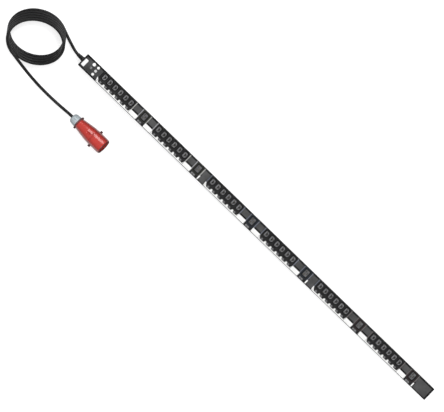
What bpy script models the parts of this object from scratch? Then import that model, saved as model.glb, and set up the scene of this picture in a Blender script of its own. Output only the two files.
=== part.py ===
"""Zero-unit rack power strip: three phases, 36 small and 6 large outlets, with its cord and five-pin plug.

Frame: the strip lies on its back. +X runs from the cord end to the far end, +Z comes out of the outlet face,
and the origin is at the middle of the back. Lengths are in metres.
"""
import math

import bmesh
import bpy
from mathutils import Vector
from mathutils.geometry import tessellate_polygon

MM = 0.001
GAP = 0.3 * MM  # clearance between pieces that touch or slide

# Strip
LENGTH = 1810 * MM
WIDTH = 56 * MM
WALL_TOP = 48 * MM
WALL = 1.6 * MM
FLOOR = 2.0 * MM
CORNER = 2.0 * MM
LEDGE_TOP = 43.9 * MM
LEDGE_REACH = 24.5 * MM
CAP_THICKNESS = 3.0 * MM
HEAD = -LENGTH / 2

# T-slot in the back, for sliding nuts
SLOT_MOUTH = 8.4 * MM
SLOT_WIDTH = 14.4 * MM
SLOT_LIP = 2.2 * MM
SLOT_DEPTH = 6.0 * MM
SLOT_ROOF = 8.0 * MM
SLOT_SHOULDER = 9.2 * MM

# Screw ports in the back corners
PORT_Y = 21.5 * MM
PORT_Z = 5.5 * MM
PORT_RADIUS = 1.6 * MM
PORT_BLOCK_Y = 17.4 * MM
PORT_BLOCK_Z = 9.8 * MM
SCREW_LENGTH = 14 * MM
SCREW_RADIUS = 1.2 * MM
SCREW_HEAD_RADIUS = 2.8 * MM
SCREW_HEAD_HEIGHT = 1.7 * MM

# Face plates and outlet modules, resting on the ledges between the walls
PLATE_WIDTH = WIDTH - 2 * WALL - 2 * GAP
PLATE_LOW = LEDGE_TOP + GAP
PLATE_TOP = 47.6 * MM
PLATE_CHAMFER = 0.6 * MM
FLANGE_TOP = 46.9 * MM
DECK_TOP = 49.5 * MM
MODULE_LOW = 24 * MM
SEAM = 0.4 * MM  # between neighbours along the strip

# Layout along the strip, from the cord end
HEAD_PANEL = (3.4 * MM, 92.4 * MM)
PHASE_STARTS = (92.4 * MM, 655.8 * MM, 1218.8 * MM)
PHASE_FITS = (1.0, 1.0, 0.984)  # the last row of modules is a little tighter
PHASE_ROW = (("c13", 167.2 * MM), ("blank", 38.3 * MM), ("c19", 37.2 * MM), ("blank", 38.3 * MM),
             ("c13", 167.2 * MM), ("blank", 38.3 * MM), ("c19", 37.2 * MM))

# Outlets
SOCKETS = 6
MODULE_MARGIN = 1.4 * MM  # beyond the first and the last of a module's six outlets
SOCKET_Y = 8.0 * MM
SOCKET_DEPTH = 16 * MM
C13_DECK = (-13.5 * MM, 25.6 * MM)
C13_TAB_WIDTH = 18.4 * MM
C13_TAB_SHIFT = 3.3 * MM  # from the outlet's centre
C13_TAB_Y = -21.2 * MM
C13_RECESS = (20.6 * MM, 28.2 * MM, 5.2 * MM)
C13_ISLAND = (15.8 * MM, 23.6 * MM, 4.0 * MM)
C13_SLOT = (4.8 * MM, 2.6 * MM)
C13_CONTACTS = ((-2.0 * MM, -7.0 * MM), (-2.0 * MM, 7.0 * MM), (2.6 * MM, 0.0))
C13_BODY = (-12 * MM, 24.2 * MM)  # between the ledges, below the face
C19_BODY = (-16 * MM, 24.2 * MM)
C19_DECK_LOW = -25.8 * MM
C19_FOOT_TOP = -17.5 * MM
C19_FOOT_FLARE = 2.2 * MM  # how far the foot spreads over its neighbours on each side
C19_RECESS = (25.4 * MM, 33.4 * MM, 1.6 * MM)
C19_ISLAND = (20.2 * MM, 28.2 * MM, 1.0 * MM)
C19_SLOT = (2.8 * MM, 8.4 * MM)
C19_CONTACTS = ((-4.0 * MM, -6.5 * MM), (-4.0 * MM, 6.5 * MM), (4.0 * MM, 0.0))
C19_Y = 5.5 * MM

# Head panel: window, keys and status light, places measured from the cord end and the centre line
WINDOW_PLACE = (13.5 * MM, -3.5 * MM)
WINDOW_SIZE = (15.0 * MM, 30.5 * MM, 3.0 * MM)
WINDOW_TOP = 48.2 * MM
KEYS = ((45.0 * MM, 15.0 * MM, 7.0 * MM), (65.5 * MM, 16.6 * MM, 5.8 * MM),
        (65.5 * MM, 0.8 * MM, 5.8 * MM), (65.5 * MM, -15.0 * MM, 5.8 * MM))
KEY_TOP = 49.3 * MM
KEY_FLANGE = 1.2 * MM
KEY_FLANGE_THICKNESS = 1.0 * MM
KEY_TRAVEL = 0.8 * MM
LIGHT_PLACE = (44.5 * MM, -2.0 * MM)
LIGHT_RADIUS = 2.0 * MM
LIGHT_TOP = 48.1 * MM
BOARD_LOW = 36.0 * MM
BOARD_TOP = 37.6 * MM
BOARD_SPAN = (6 * MM, 88 * MM)
BOARD_HALF_WIDTH = 23.5 * MM
DISPLAY_MODULE = (6 * MM, 14 * MM)  # half sizes of the block under the window
SWITCH_SIDE = 6.0 * MM
SWITCH_TOP = PLATE_LOW - KEY_FLANGE_THICKNESS - KEY_TRAVEL - 3 * GAP
POST_RADIUS = 2.2 * MM
POSTS = ((30 * MM, 18 * MM), (30 * MM, -20 * MM), (82 * MM, 18 * MM), (82 * MM, -20 * MM))

# Inside: busbars on their carrier, and the terminal block
BAR_PITCH = 6.2 * MM
BAR_THICKNESS = 2.0 * MM
BAR_LOW = 11.0 * MM
BAR_TOP = 19.0 * MM
BAR_START = 45 * MM
BAR_END = LENGTH - 65 * MM
CARRIER_END = LENGTH - 60 * MM
CARRIER_WIDTH = 32 * MM
CARRIER_TOP = 17 * MM
BAR_NAMES = ("busbar_line_1", "busbar_line_2", "busbar_line_3", "busbar_neutral", "busbar_earth")
BLOCK_SPAN = (20 * MM, 44 * MM)
BLOCK_WIDTH = 34 * MM
BLOCK_TOP = 33 * MM
WIRE_HOLE = 2.1 * MM
WIRE_HOLE_Z = 15 * MM

# Cord: one length from the bush at the strip's end, through the coil, to the plug
CORD_RADIUS = 6.0 * MM
CORD_Z = 24 * MM
CORD_REST = 6.4 * MM  # height of the centre line where the cord lies on the surface
BUSH_FLANGE = 3.0 * MM
BUSH_FLANGE_RADIUS = 11.0 * MM
BUSH_SHANK = 10.0 * MM
BUSH_SHANK_RADIUS = 8.4 * MM
BOOT_LENGTH = 25 * MM
BOOT_RADII = (9.4 * MM, 7.4 * MM)
LEAD_ROUTE_MM = ((-933.3, 0.0, 24.0), (-945, 1.4, 23.2), (-958, 4.6, 20.2), (-971, 8.6, 15.4),
                 (-984, 12.8, 10.4), (-997, 17.2, 7.2))
TAIL_ROUTE_MM = ((-1058.8, -175.2, 43.7), (-1041.7, -177.9, 38.9), (-1020.9, -180.7, 31.7),
                 (-1000.3, -183.1, 23.6), (-980, -185.0, 16.0), (-958, -186.5, 9.6), (-934, -187.3, 6.8),
                 (-905, -187.6, 6.4), (-875, -187.2, 6.5), (-845, -186.0, 8.2), (-818, -184.3, 13.2),
                 (-800, -183.2, 16.6), (-785.3, -183.0, 18.46))
ROUTE_STEP = 26 * MM

# Coil: turns of one oval, each drifting a little from the last, slumped against each other
COIL_CENTRE = Vector((-1090.0 * MM, -62.9 * MM, 0.0))
COIL_HALF_LONG = 107.6 * MM
COIL_HALF_SHORT = 83.5 * MM
COIL_LONG_AXIS = math.radians(27.0)
COIL_DRIFT = Vector((-6.5 * MM, 7.1 * MM, 0.0))  # per turn
COIL_LEVELS = 4
TURN_SPACING = 12.2 * MM

# Plug, along its own axis from the back of its cable nut
PLUG_AT = Vector((-785 * MM, -183 * MM, 18.5 * MM))
PLUG_PITCH = math.radians(7.0)
NUT_PROFILE_MM = ((0.0, 9.5), (3.0, 15.0), (8.0, 19.3), (15.0, 20.8), (29.7, 21.8), (29.7, 6.5), (0.0, 6.5))
BODY_PROFILE_MM = ((30.0, 20.0), (32.0, 22.0), (60.0, 25.4), (85.0, 28.6), (104.0, 31.0), (111.0, 31.2),
                   (111.0, 28.0), (96.0, 28.0), (80.0, 24.5), (50.0, 20.5), (38.0, 16.0), (35.0, 6.5),
                   (30.0, 6.5))
SLEEVE_PROFILE_MM = ((111.3, 32.0), (160.0, 32.0), (165.0, 31.0), (168.0, 28.6), (111.3, 27.8))
PIN_CIRCLE = 16 * MM
PIN_RADIUS = 2.5 * MM
EARTH_PIN_RADIUS = 3.0 * MM
PIN_SPAN = (104 * MM, 160 * MM)
CARRIER_SPAN = (99 * MM, 126 * MM)
CARRIER_RADIUS = 27.3 * MM
LUG_AT = (31 * MM, 37 * MM)
LUG_REACH = 25.5 * MM
LUG_HEIGHT = 12 * MM
EAR_AT = (117 * MM, 126 * MM)
EAR_REACH = 38.5 * MM
EAR_HEIGHT = 9 * MM
LUG_DEPTH = 9 * MM


def clear_scene():
    for old in list(bpy.data.objects):
        bpy.data.objects.remove(old, do_unlink=True)


def finish(name, colour, roughness, metallic=0.0):
    made = bpy.data.materials.new(name)
    made.use_nodes = True
    shader = made.node_tree.nodes["Principled BSDF"]
    shader.inputs["Base Color"].default_value = (*colour, 1.0)
    shader.inputs["Roughness"].default_value = roughness
    shader.inputs["Metallic"].default_value = metallic
    return made


def make_finishes():
    return {
        "housing": finish("black_anodised", (0.012, 0.012, 0.013), 0.4),
        "panel": finish("dark_grey_panel", (0.075, 0.075, 0.08), 0.5),
        "module": finish("black_module", (0.01, 0.01, 0.011), 0.35),
        "white": finish("white_plastic", (0.82, 0.82, 0.8), 0.4),
        "light": finish("status_light", (0.25, 0.3, 0.26), 0.25),
        "board": finish("circuit_board", (0.02, 0.12, 0.06), 0.5),
        "copper": finish("copper_bar", (0.75, 0.38, 0.22), 0.3, 1.0),
        "carrier": finish("carrier_plastic", (0.55, 0.53, 0.48), 0.55),
        "steel": finish("zinc_screw", (0.55, 0.55, 0.56), 0.35, 1.0),
        "rubber": finish("cord_rubber", (0.02, 0.02, 0.021), 0.6),
        "red": finish("red_plastic", (0.55, 0.02, 0.02), 0.4),
        "grey": finish("grey_plastic", (0.48, 0.53, 0.57), 0.45),
        "dark": finish("dark_insulator", (0.03, 0.03, 0.032), 0.5),
        "brass": finish("nickel_pin", (0.65, 0.62, 0.55), 0.25, 1.0),
    }


def add_object(name, mesh, look, smooth=False):
    thing = bpy.data.objects.new(name, mesh)
    bpy.context.scene.collection.objects.link(thing)
    mesh.materials.append(look)
    if smooth:
        mesh.shade_smooth()
        mesh.set_sharp_from_angle(angle=math.radians(35))
    return thing


def mesh_from(name, points, faces):
    shape = bmesh.new()
    verts = [shape.verts.new(point) for point in points]
    for face in faces:
        shape.faces.new([verts[index] for index in face])
    bmesh.ops.recalc_face_normals(shape, faces=shape.faces)
    mesh = bpy.data.meshes.new(name)
    shape.to_mesh(mesh)
    shape.free()
    return mesh


def prism_parts(outline, low, high, holes=(), axis="Z"):
    """Points and faces of a flat outline, with holes, drawn out along an axis from low to high.
    Outline points are (x, y) for axis Z, and (y, z) for axis X."""
    rings = [list(outline)] + [list(hole) for hole in holes]
    flat = [[Vector((a, b, 0.0)) for a, b in ring] for ring in rings]
    count = sum(len(ring) for ring in rings)
    points = []
    for level in (low, high):
        for ring in rings:
            for a, b in ring:
                points.append((a, b, level) if axis == "Z" else (level, a, b))
    caps = tessellate_polygon(flat) if holes else [tuple(range(count))]
    faces = []
    for cap in caps:
        faces.append(tuple(cap))
        faces.append(tuple(index + count for index in cap))
    start = 0
    for ring in rings:
        size = len(ring)
        for index in range(size):
            here = start + index
            after = start + (index + 1) % size
            faces.append((here, after, after + count, here + count))
        start += size
    return points, faces


def prism(name, outline, low, high, look, holes=(), axis="Z"):
    points, faces = prism_parts(outline, low, high, holes, axis)
    return add_object(name, mesh_from(name, points, faces), look)


def several_prisms(name, pieces, look):
    """One mesh of separate prisms, to cut with or to join on."""
    points, faces = [], []
    for piece in pieces:
        more_points, more_faces = prism_parts(**piece)
        base = len(points)
        points.extend(more_points)
        faces.extend(tuple(index + base for index in face) for face in more_faces)
    return add_object(name, mesh_from(name, points, faces), look)


def rectangle(low, high):
    return ((low[0], low[1]), (high[0], low[1]), (high[0], high[1]), (low[0], high[1]))


def circle(centre, radius, sides):
    turn = math.tau / sides
    return [(centre[0] + radius * math.cos(turn * i), centre[1] + radius * math.sin(turn * i))
            for i in range(sides)]


def rounded(centre, size, radius, steps=2):
    """Rectangle with round corners."""
    points = []
    for quarter, (side_x, side_y) in enumerate(((1, 1), (-1, 1), (-1, -1), (1, -1))):
        corner_x = centre[0] + side_x * (size[0] / 2 - radius)
        corner_y = centre[1] + side_y * (size[1] / 2 - radius)
        for step in range(steps + 1):
            angle = math.pi / 2 * (quarter + step / steps)
            points.append((corner_x + radius * math.cos(angle), corner_y + radius * math.sin(angle)))
    return points


def clipped(centre, size):
    """Rectangle with its two +X corners cut off."""
    half_x, half_y, cut = size[0] / 2, size[1] / 2, size[2]
    x, y = centre
    return ((x - half_x, y - half_y), (x + half_x - cut, y - half_y), (x + half_x, y - half_y + cut),
            (x + half_x, y + half_y - cut), (x + half_x - cut, y + half_y), (x - half_x, y + half_y))


def turned(name, profile, look, sides=24, axis="X", closed=False, at=(0.0, 0.0, 0.0)):
    """Solid of revolution. The profile is (distance along the axis, radius) points. A closed profile makes
    a tube, and an open one has flat ends."""
    points, faces = [], []
    for along, radius in profile:
        for i in range(sides):
            angle = math.tau * i / sides
            a, b = radius * math.cos(angle), radius * math.sin(angle)
            point = (along, a, b) if axis == "X" else (a, b, along)
            points.append(tuple(point[k] + at[k] for k in range(3)))
    rows = len(profile)
    for row in range(rows if closed else rows - 1):
        low, high = row * sides, (row + 1) % rows * sides
        for i in range(sides):
            j = (i + 1) % sides
            faces.append((low + i, low + j, high + j, high + i))
    if not closed:
        faces.append(tuple(range(sides)))
        faces.append(tuple(range((rows - 1) * sides, rows * sides)))
    return add_object(name, mesh_from(name, points, faces), look, smooth=True)


def use_tool(target, tool, operation):
    tool.hide_render = True
    tool.display_type = "WIRE"
    step = target.modifiers.new(tool.name, "BOOLEAN")
    step.operation = operation
    step.object = tool


def strip_x(along):
    """World X of a place measured from the cord end."""
    return HEAD + along


def make_housing(looks):
    half = WIDTH / 2
    inner = half - WALL
    right = [
        (SLOT_MOUTH / 2, 0.0), (half - CORNER, 0.0), (half - CORNER * 0.3, CORNER * 0.3), (half, CORNER),
        (half, WALL_TOP - 0.5 * MM), (half - 0.5 * MM, WALL_TOP), (inner, WALL_TOP), (inner, LEDGE_TOP),
        (LEDGE_REACH, LEDGE_TOP), (LEDGE_REACH, LEDGE_TOP - 1.2 * MM), (inner, LEDGE_TOP - 3.1 * MM),
        (inner, PORT_BLOCK_Z), (PORT_BLOCK_Y, PORT_BLOCK_Z), (PORT_BLOCK_Y, FLOOR), (SLOT_SHOULDER, FLOOR),
        (SLOT_SHOULDER, SLOT_ROOF),
    ]
    slot = [(-SLOT_MOUTH / 2, SLOT_LIP), (-SLOT_WIDTH / 2, SLOT_LIP), (-SLOT_WIDTH / 2, SLOT_DEPTH),
            (SLOT_WIDTH / 2, SLOT_DEPTH), (SLOT_WIDTH / 2, SLOT_LIP), (SLOT_MOUTH / 2, SLOT_LIP)]
    outline = right + [(-y, z) for y, z in reversed(right)] + slot
    ports = [circle((side * PORT_Y, PORT_Z), PORT_RADIUS, 8) for side in (-1, 1)]
    reach = LENGTH / 2 - CAP_THICKNESS - GAP
    prism("housing_profile", outline, -reach, reach, looks["housing"], ports, "X")


def make_end_cap(name, side, looks, cord_hole):
    half = WIDTH / 2
    notch = SLOT_WIDTH / 2
    right = [(notch, 0.0), (half - CORNER, 0.0), (half - CORNER * 0.3, CORNER * 0.3), (half, CORNER),
             (half, WALL_TOP - CORNER), (half - CORNER * 0.3, WALL_TOP - CORNER * 0.3),
             (half - CORNER, WALL_TOP)]
    outline = right + [(-y, z) for y, z in reversed(right)] + [(-notch, SLOT_DEPTH), (notch, SLOT_DEPTH)]
    holes = [circle((way * PORT_Y, PORT_Z), PORT_RADIUS + 0.1 * MM, 8) for way in (-1, 1)]
    if cord_hole:
        holes.append(circle((0.0, CORD_Z), BUSH_SHANK_RADIUS + 0.4 * MM, 16))
    outside = side * LENGTH / 2
    inside = outside - side * CAP_THICKNESS
    prism(name, outline, min(outside, inside), max(outside, inside), looks["panel"], holes, "X")


def make_cap_screws(prefix, side, looks):
    face = LENGTH / 2 + GAP
    profile = [(face - SCREW_LENGTH, SCREW_RADIUS), (face, SCREW_RADIUS), (face, SCREW_HEAD_RADIUS),
               (face + SCREW_HEAD_HEIGHT * 0.7, SCREW_HEAD_RADIUS * 0.93),
               (face + SCREW_HEAD_HEIGHT, SCREW_HEAD_RADIUS * 0.57)]
    for number, way in enumerate((-1, 1), 1):
        shape = [(side * along, radius) for along, radius in profile]
        turned(f"{prefix}_{number}", shape, looks["steel"], 8, at=(0.0, way * PORT_Y, PORT_Z))


def plate_outline():
    half = PLATE_WIDTH / 2
    edge = PLATE_TOP - PLATE_CHAMFER
    return [(-half, PLATE_LOW), (half, PLATE_LOW), (half, edge), (half - PLATE_CHAMFER, PLATE_TOP),
            (-half + PLATE_CHAMFER, PLATE_TOP), (-half, edge)]


def make_face_plate(name, place, looks):
    return prism(name, plate_outline(), strip_x(place[0]) + SEAM / 2, strip_x(place[1]) - SEAM / 2,
                 looks["panel"], axis="X")


def make_head_panel(looks):
    panel = make_face_plate("head_panel", HEAD_PANEL, looks)
    posts = [dict(outline=circle((strip_x(x), y), POST_RADIUS, 8), low=BOARD_TOP + GAP,
                  high=PLATE_LOW + 1.0 * MM) for x, y in POSTS]
    use_tool(panel, several_prisms("head_panel_posts", posts, looks["panel"]), "UNION")
    low, high = PLATE_LOW - 1 * MM, PLATE_TOP + 1 * MM
    window = (WINDOW_SIZE[0] + 2 * GAP, WINDOW_SIZE[1] + 2 * GAP)
    centre = (strip_x(WINDOW_PLACE[0]), WINDOW_PLACE[1])
    holes = [dict(outline=rounded(centre, window, WINDOW_SIZE[2]), low=low, high=high)]
    for x, y, radius in KEYS:
        holes.append(dict(outline=circle((strip_x(x), y), radius + GAP, 20), low=low, high=high))
    light = (strip_x(LIGHT_PLACE[0]), LIGHT_PLACE[1])
    holes.append(dict(outline=circle(light, LIGHT_RADIUS + GAP, 10), low=low, high=high))
    use_tool(panel, several_prisms("head_panel_holes", holes, looks["panel"]), "DIFFERENCE")


def make_head_fittings(looks):
    centre = (strip_x(WINDOW_PLACE[0]), WINDOW_PLACE[1])
    prism("display_window", rounded(centre, WINDOW_SIZE, WINDOW_SIZE[2]), PLATE_LOW, WINDOW_TOP,
          looks["white"])
    flange_top = PLATE_LOW - GAP
    flange_low = flange_top - KEY_FLANGE_THICKNESS
    for number, (x, y, radius) in enumerate(KEYS, 1):
        profile = [(flange_low, radius + KEY_FLANGE), (flange_top, radius + KEY_FLANGE),
                   (flange_top, radius), (KEY_TOP - 0.6 * MM, radius), (KEY_TOP - 0.1 * MM, radius * 0.86),
                   (KEY_TOP, radius * 0.6)]
        key = turned(f"key_{number}", profile, looks["white"], 20, "Z")
        key.location = (strip_x(x), y, 0.0)
    light = [(BOARD_TOP + GAP, LIGHT_RADIUS - 0.3 * MM), (LIGHT_TOP - 0.5 * MM, LIGHT_RADIUS - 0.3 * MM),
             (LIGHT_TOP, LIGHT_RADIUS * 0.5)]
    turned("status_light", light, looks["light"], 10, "Z",
           at=(strip_x(LIGHT_PLACE[0]), LIGHT_PLACE[1], 0.0))


def make_control_board(looks):
    outline = rectangle((strip_x(BOARD_SPAN[0]), -BOARD_HALF_WIDTH),
                        (strip_x(BOARD_SPAN[1]), BOARD_HALF_WIDTH))
    board = prism("control_board", outline, BOARD_LOW, BOARD_TOP, looks["board"])
    half = SWITCH_SIDE / 2
    raised = [dict(outline=rectangle((strip_x(x) - half, y - half), (strip_x(x) + half, y + half)),
                   low=BOARD_TOP - 0.5 * MM, high=SWITCH_TOP) for x, y, _ in KEYS]
    x, y = strip_x(WINDOW_PLACE[0]), WINDOW_PLACE[1]
    half_x, half_y = DISPLAY_MODULE
    raised.append(dict(outline=rectangle((x - half_x, y - half_y), (x + half_x, y + half_y)),
                       low=BOARD_TOP - 0.5 * MM, high=PLATE_LOW - 3 * GAP))
    use_tool(board, several_prisms("board_parts", raised, looks["board"]), "UNION")


def socket_cuts(centre, recess, island, slot, contacts, outline):
    """Channel around the island, and one slot for each contact."""
    top = DECK_TOP + 1 * MM
    cuts = [dict(outline=outline(centre, recess), holes=[outline(centre, island)],
                 low=DECK_TOP - SOCKET_DEPTH, high=top)]
    for x, y in contacts:
        low = (centre[0] + x - slot[0] / 2, centre[1] + y - slot[1] / 2)
        high = (centre[0] + x + slot[0] / 2, centre[1] + y + slot[1] / 2)
        cuts.append(dict(outline=rectangle(low, high), low=DECK_TOP - SOCKET_DEPTH + 1 * MM, high=top))
    return cuts


def module_outline(deck, body):
    """Cross-section of an outlet module: its body between the ledges, its flange on them, and its deck."""
    half = PLATE_WIDTH / 2
    return [(body[0], MODULE_LOW), (body[1], MODULE_LOW), (body[1], PLATE_LOW), (half, PLATE_LOW),
            (half, FLANGE_TOP), (deck[1], FLANGE_TOP), (deck[1], DECK_TOP - 0.4 * MM),
            (deck[1] - 0.4 * MM, DECK_TOP), (deck[0], DECK_TOP), (deck[0], FLANGE_TOP), (-half, FLANGE_TOP),
            (-half, PLATE_LOW), (body[0], PLATE_LOW)]


def make_c13_module(name, place, looks):
    low, high = strip_x(place[0]) + SEAM / 2, strip_x(place[1]) - SEAM / 2
    module = prism(name, module_outline(C13_DECK, C13_BODY), low, high, looks["module"],
                   axis="X")
    pitch = (high - low - 2 * MODULE_MARGIN) / SOCKETS
    centres = [low + MODULE_MARGIN + pitch * (number + 0.5) for number in range(SOCKETS)]
    half = C13_TAB_WIDTH / 2
    tabs = []
    for number, x in enumerate(centres):
        left = x + C13_TAB_SHIFT - half if number else low + 2 * MODULE_MARGIN
        right = x + C13_TAB_SHIFT + half
        tabs.append(dict(outline=rectangle((left, C13_TAB_Y), (right, C13_DECK[0] + 1 * MM)),
                         low=FLANGE_TOP - 0.5 * MM, high=DECK_TOP - 0.5 * MM))
    use_tool(module, several_prisms(name + "_tabs", tabs, looks["module"]), "UNION")
    cuts = []
    for x in centres:
        cuts += socket_cuts((x, SOCKET_Y), C13_RECESS, C13_ISLAND, C13_SLOT, C13_CONTACTS, clipped)
    use_tool(module, several_prisms(name + "_sockets", cuts, looks["module"]), "DIFFERENCE")


def make_c19_module(name, place, looks):
    low, high = strip_x(place[0]) + SEAM / 2, strip_x(place[1]) - SEAM / 2
    module = prism(name, module_outline((C19_DECK_LOW, C13_DECK[1]), C19_BODY), low, high,
                   looks["module"], axis="X")
    centre = ((low + high) / 2, C19_Y)
    half = (high - low) / 2
    foot = [(centre[0] + x, y) for x, y in (
        (1 * MM - half, C19_FOOT_TOP), (1 * MM - half - C19_FOOT_FLARE, C19_DECK_LOW),
        (half - 1 * MM + C19_FOOT_FLARE, C19_DECK_LOW), (half - 1 * MM, C19_FOOT_TOP))]
    plinth = [dict(outline=foot, low=PLATE_TOP + GAP, high=DECK_TOP - 0.1 * MM)]
    use_tool(module, several_prisms(name + "_foot", plinth, looks["module"]), "UNION")
    cuts = socket_cuts(centre, C19_RECESS, C19_ISLAND, C19_SLOT, C19_CONTACTS,
                       lambda at, size: rounded(at, size, size[2], 1))
    use_tool(module, several_prisms(name + "_sockets", cuts, looks["module"]), "DIFFERENCE")


def make_face(looks):
    make_head_panel(looks)
    counts = {"c13": 0, "c19": 0, "blank": 0}
    names = {"c13": "c13_outlets", "c19": "c19_outlet", "blank": "blank_panel"}
    makers = {"c13": make_c13_module, "c19": make_c19_module, "blank": make_face_plate}
    for phase, (start, fit) in enumerate(zip(PHASE_STARTS, PHASE_FITS), 1):
        for kind, width in PHASE_ROW:
            counts[kind] += 1
            makers[kind](f"{names[kind]}_{counts[kind]}", (start, start + width * fit), looks)
            start += width * fit
        if phase < len(PHASE_STARTS):
            make_face_plate(f"phase_divider_{phase}", (start, PHASE_STARTS[phase]), looks)
        else:
            make_face_plate("end_panel", (start, LENGTH - HEAD_PANEL[0]), looks)


def make_power_path(looks):
    slots = []
    for number in range(len(BAR_NAMES)):
        y = (number - 2) * BAR_PITCH
        slots += [(y - BAR_THICKNESS / 2 - GAP, CARRIER_TOP), (y - BAR_THICKNESS / 2 - GAP, BAR_LOW - GAP),
                  (y + BAR_THICKNESS / 2 + GAP, BAR_LOW - GAP), (y + BAR_THICKNESS / 2 + GAP, CARRIER_TOP)]
    half = CARRIER_WIDTH / 2
    outline = [(half, CARRIER_TOP), (half, SLOT_ROOF + GAP), (-half, SLOT_ROOF + GAP), (-half, CARRIER_TOP)]
    prism("busbar_carrier", outline + slots, strip_x(BAR_START), strip_x(CARRIER_END), looks["carrier"],
          axis="X")
    ends = [PHASE_STARTS[1], PHASE_STARTS[2], BAR_END, BAR_END, BAR_END]
    for number, (name, end) in enumerate(zip(BAR_NAMES, ends)):
        y = (number - 2) * BAR_PITCH
        bar = rectangle((strip_x(BAR_START), y - BAR_THICKNESS / 2),
                        (strip_x(end), y + BAR_THICKNESS / 2))
        prism(name, bar, BAR_LOW, BAR_TOP, looks["copper"])
    holes = [circle(((number - 2) * BAR_PITCH, WIRE_HOLE_Z), WIRE_HOLE, 6)
             for number in range(len(BAR_NAMES))]
    prism("terminal_block", rectangle((-BLOCK_WIDTH / 2, SLOT_ROOF + GAP), (BLOCK_WIDTH / 2, BLOCK_TOP)),
          strip_x(BLOCK_SPAN[0]), strip_x(BLOCK_SPAN[1]), looks["carrier"], holes, "X")


def make_cord_exit(looks):
    face = HEAD - GAP
    bore = CORD_RADIUS + 0.4 * MM
    bush = [(face - BUSH_FLANGE, BUSH_FLANGE_RADIUS - 0.5 * MM), (face, BUSH_FLANGE_RADIUS),
            (face, BUSH_SHANK_RADIUS), (face + BUSH_SHANK, BUSH_SHANK_RADIUS), (face + BUSH_SHANK, bore),
            (face - BUSH_FLANGE, bore)]
    turned("cord_bush", bush, looks["dark"], 16, closed=True, at=(0.0, 0.0, CORD_Z))
    start = face - BUSH_FLANGE - GAP
    end = start - BOOT_LENGTH
    boot = [(start, BOOT_RADII[0]), (start, bore), (end, bore), (end, BOOT_RADII[1])]
    turned("cord_boot", boot, looks["rubber"], 16, closed=True, at=(0.0, 0.0, CORD_Z))


def smooth_route(points, spacing):
    """Evenly spaced points on a smooth curve through the given ones."""
    ends = [points[0] * 2 - points[1], *points, points[-1] * 2 - points[-2]]
    fine = []
    for i in range(1, len(ends) - 2):
        a, b, c, d = ends[i - 1:i + 3]
        for step in range(12):
            t = step / 12
            fine.append(0.5 * (2 * b + (c - a) * t + (2 * a - 5 * b + 4 * c - d) * t * t
                               + (3 * b - a - 3 * c + d) * t ** 3))
    fine.append(points[-1].copy())
    travelled = [0.0]
    for before, after in zip(fine, fine[1:]):
        travelled.append(travelled[-1] + (after - before).length)
    count = max(2, round(travelled[-1] / spacing))
    spaced, at = [], 0
    for number in range(count + 1):
        wanted = travelled[-1] * number / count
        while at < len(fine) - 2 and travelled[at + 1] < wanted:
            at += 1
        share = (wanted - travelled[at]) / (travelled[at + 1] - travelled[at])
        spaced.append(fine[at].lerp(fine[at + 1], min(1.0, share)))
    return spaced


def make_cord_tube(name, route_mm, looks):
    points = smooth_route([Vector(point) * MM for point in route_mm], ROUTE_STEP)
    data = bpy.data.curves.new(name, "CURVE")
    data.dimensions = "3D"
    data.bevel_depth = CORD_RADIUS
    data.bevel_resolution = 2
    data.use_fill_caps = True
    spline = data.splines.new("POLY")
    spline.points.add(len(points) - 1)
    for slot, point in zip(spline.points, points):
        slot.co = (*point, 1.0)
    tube = bpy.data.objects.new(name, data)
    data.materials.append(looks["rubber"])
    bpy.context.scene.collection.objects.link(tube)


def coil_offset(angle):
    """From the centre of a turn to its centre line, and the outward direction there."""
    long_axis = Vector((math.cos(COIL_LONG_AXIS), math.sin(COIL_LONG_AXIS), 0.0))
    short_axis = Vector((-long_axis.y, long_axis.x, 0.0))
    offset = long_axis * COIL_HALF_LONG * math.cos(angle) + short_axis * COIL_HALF_SHORT * math.sin(angle)
    outward = (long_axis * math.cos(angle) / COIL_HALF_LONG
               + short_axis * math.sin(angle) / COIL_HALF_SHORT).normalized()
    return offset, outward


def level_rise(outward):
    """Height from one turn to the turn that leans on it, which keeps their spacing."""
    return math.sqrt(TURN_SPACING ** 2 - COIL_DRIFT.dot(outward) ** 2)


def make_coil(looks):
    """One closed ring of the leaning stack's outer shape: at each angle, the lowest and the highest turn
    and the straight sides between them."""
    stations, around = 40, 5
    points, faces = [], []
    for station in range(stations):
        offset, outward = coil_offset(math.tau * station / stations)
        drift = COIL_DRIFT * (COIL_LEVELS / 2)
        low = COIL_CENTRE + offset + drift + Vector((0, 0, CORD_REST))
        high = COIL_CENTRE + offset - drift + Vector((0, 0, CORD_REST + COIL_LEVELS * level_rise(outward)))
        rise = high - low
        lean = math.atan2(rise.z, rise.dot(outward))
        for centre, start in ((high, lean - math.pi / 2), (low, lean + math.pi / 2)):
            for step in range(around):
                angle = start + math.pi * step / (around - 1)
                points.append(centre + outward * CORD_RADIUS * math.cos(angle)
                              + Vector((0, 0, CORD_RADIUS * math.sin(angle))))
    size = 2 * around
    for station in range(stations):
        here, after = station * size, (station + 1) % stations * size
        for i in range(size):
            j = (i + 1) % size
            faces.append((here + i, here + j, after + j, after + i))
    add_object("cord_coil", mesh_from("cord_coil", points, faces), looks["rubber"], smooth=True)


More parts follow.
